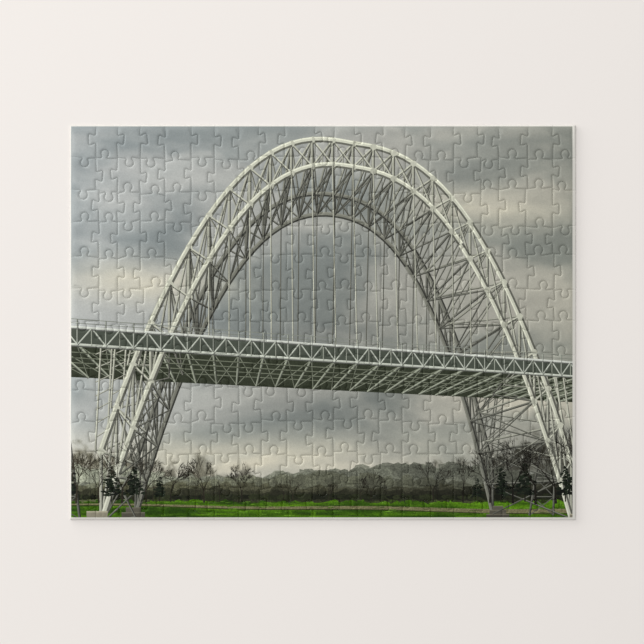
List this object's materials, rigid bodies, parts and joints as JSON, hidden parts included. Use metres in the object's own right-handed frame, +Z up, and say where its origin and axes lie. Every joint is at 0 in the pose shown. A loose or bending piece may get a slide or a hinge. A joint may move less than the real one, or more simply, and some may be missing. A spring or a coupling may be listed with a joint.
{
  "type": "jigsaw puzzle",
  "caption": "Finished rectangular jigsaw puzzle lying flat, die-cut into interlocking knobbed pieces from one printed board, with a picture of an arch bridge over a wooded valley.",
  "frame": {"origin": "centre of the underside, on the surface that the puzzle lies on", "axes": "+Z up out of the printed face, +X along the long side towards the picture's right, +Y towards the picture's top"},
  "size_m": [0.375, 0.2924, 0.002],
  "materials": {
    "printed_sky": "greyboard with a satin printed face, cloudy grey sky",
    "printed_steel": "greyboard with a satin printed face, pale steelwork against dark woods",
    "printed_meadow": "greyboard with a satin printed face, green meadow and bare trees"
  },
  "bodies": {
    "root": {"pieces_a1": "printed_sky", "pieces_a2": "printed_sky", "pieces_a3": "printed_sky", "pieces_a4": "printed_sky", "pieces_a5": "printed_sky", "pieces_a6": "printed_sky", "pieces_a7": "printed_sky", "pieces_b1": "printed_sky", "pieces_b2": "printed_sky", "pieces_b3": "printed_sky", "pieces_b4": "printed_sky", "pieces_b5": "printed_sky", "pieces_b6": "printed_sky", "pieces_b7": "printed_sky", "pieces_c1": "printed_steel", "pieces_c2": "printed_steel", "pieces_c3": "printed_steel", "pieces_c4": "printed_steel", "pieces_c5": "printed_steel", "pieces_c6": "printed_steel", "pieces_c7": "printed_steel", "pieces_d1": "printed_steel", "pieces_d2": "printed_steel", "pieces_d3": "printed_steel", "pieces_d4": "printed_steel", "pieces_d5": "printed_steel", "pieces_d6": "printed_steel", "pieces_d7": "printed_steel", "pieces_e1": "printed_steel", "pieces_e2": "printed_steel", "pieces_e3": "printed_steel", "pieces_e4": "printed_steel", "pieces_e5": "printed_steel", "pieces_e6": "printed_steel", "pieces_e7": "printed_steel", "pieces_f1": "printed_meadow", "pieces_f2": "printed_meadow", "pieces_f3": "printed_meadow", "pieces_f4": "printed_meadow", "pieces_f5": "printed_meadow", "pieces_f6": "printed_meadow", "pieces_f7": "printed_meadow"}
  },
  "joints": []
}
